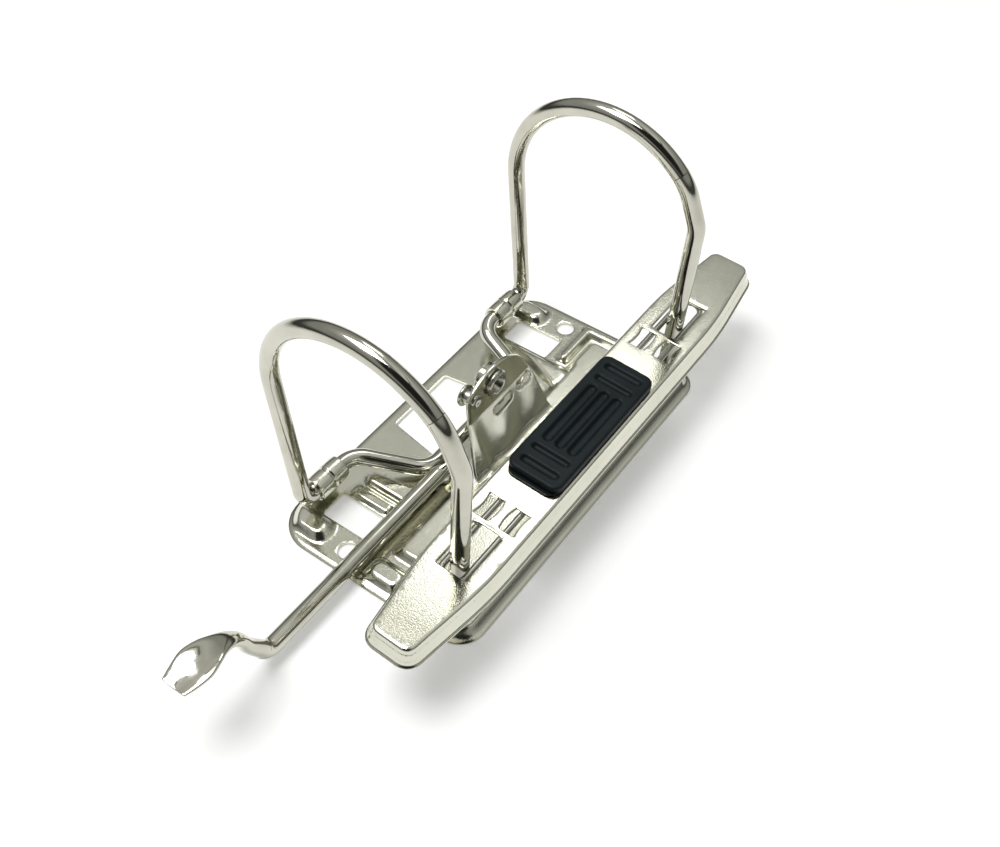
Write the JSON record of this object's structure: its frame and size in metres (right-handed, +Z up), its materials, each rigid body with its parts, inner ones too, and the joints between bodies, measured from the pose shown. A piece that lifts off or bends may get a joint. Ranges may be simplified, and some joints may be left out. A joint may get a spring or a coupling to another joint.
{
  "type": "lever arch mechanism",
  "caption": "Two-ring filing mechanism: a hand lever swings the arches open, fixed posts carry a sliding compressor bar.",
  "frame": {"origin": "centre of the four fixing holes, in the plane that the base plate lies on", "axes": "+X along the plate, away from the lever's grip; +Y to the arches' hinge; +Z up from the plate's underside"},
  "size_m": [0.1581, 0.0568, 0.07],
  "materials": {
    "satin_nickel": "satin, fine grained",
    "bright_nickel": "bright nickel plate",
    "rivet_steel": "plated, slightly dull",
    "spring_steel": "drawn wire",
    "black_plastic": "satin moulded"
  },
  "bodies": {
    "base": {"base_plate": "satin_nickel", "post_left": "bright_nickel", "post_right": "bright_nickel", "pivot_eyelet": "rivet_steel", "stop_stud": "rivet_steel"},
    "arch": {"arch_wire": "bright_nickel"},
    "lever_arm": {"lever": "bright_nickel", "roller_pin": "rivet_steel"},
    "press_roller": {"roller": "rivet_steel"},
    "bar": {"compressor_bar": "satin_nickel", "lock_spring": "spring_steel"},
    "slide": {"thumb_slide": "black_plastic"}
  },
  "joints": [
    {"name": "lever_pivot", "type": "hinge", "parent": "base", "child": "lever_arm", "pos_m": [0.002, 0.0051, 0.0203], "axis": [0, 1, 0], "range_deg": [0, 76]},
    {"name": "arch_hinge", "type": "hinge", "parent": "base", "child": "arch", "pos_m": [0, 0.0233, 0.0075], "axis": [-1, 0, 0], "range_deg": [0, 32.68]},
    {"name": "roller_spin", "type": "hinge", "parent": "lever_arm", "child": "press_roller", "pos_m": [0.0024, 0.00885, 0.00985], "axis": [0, 1, 0], "continuous": true},
    {"name": "bar_slide", "type": "slide", "parent": "base", "child": "bar", "axis": [0, -0.0698, 0.9976], "range_m": [-0.0125, 0.022]},
    {"name": "thumb_slide_travel", "type": "slide", "parent": "bar", "child": "slide", "axis": [1, 0, 0], "range_m": [0, 0.003]}
  ],
  "couplings": [
    {"joint": "arch_hinge", "follows": "lever_pivot", "ratio": 0.43}
  ]
}
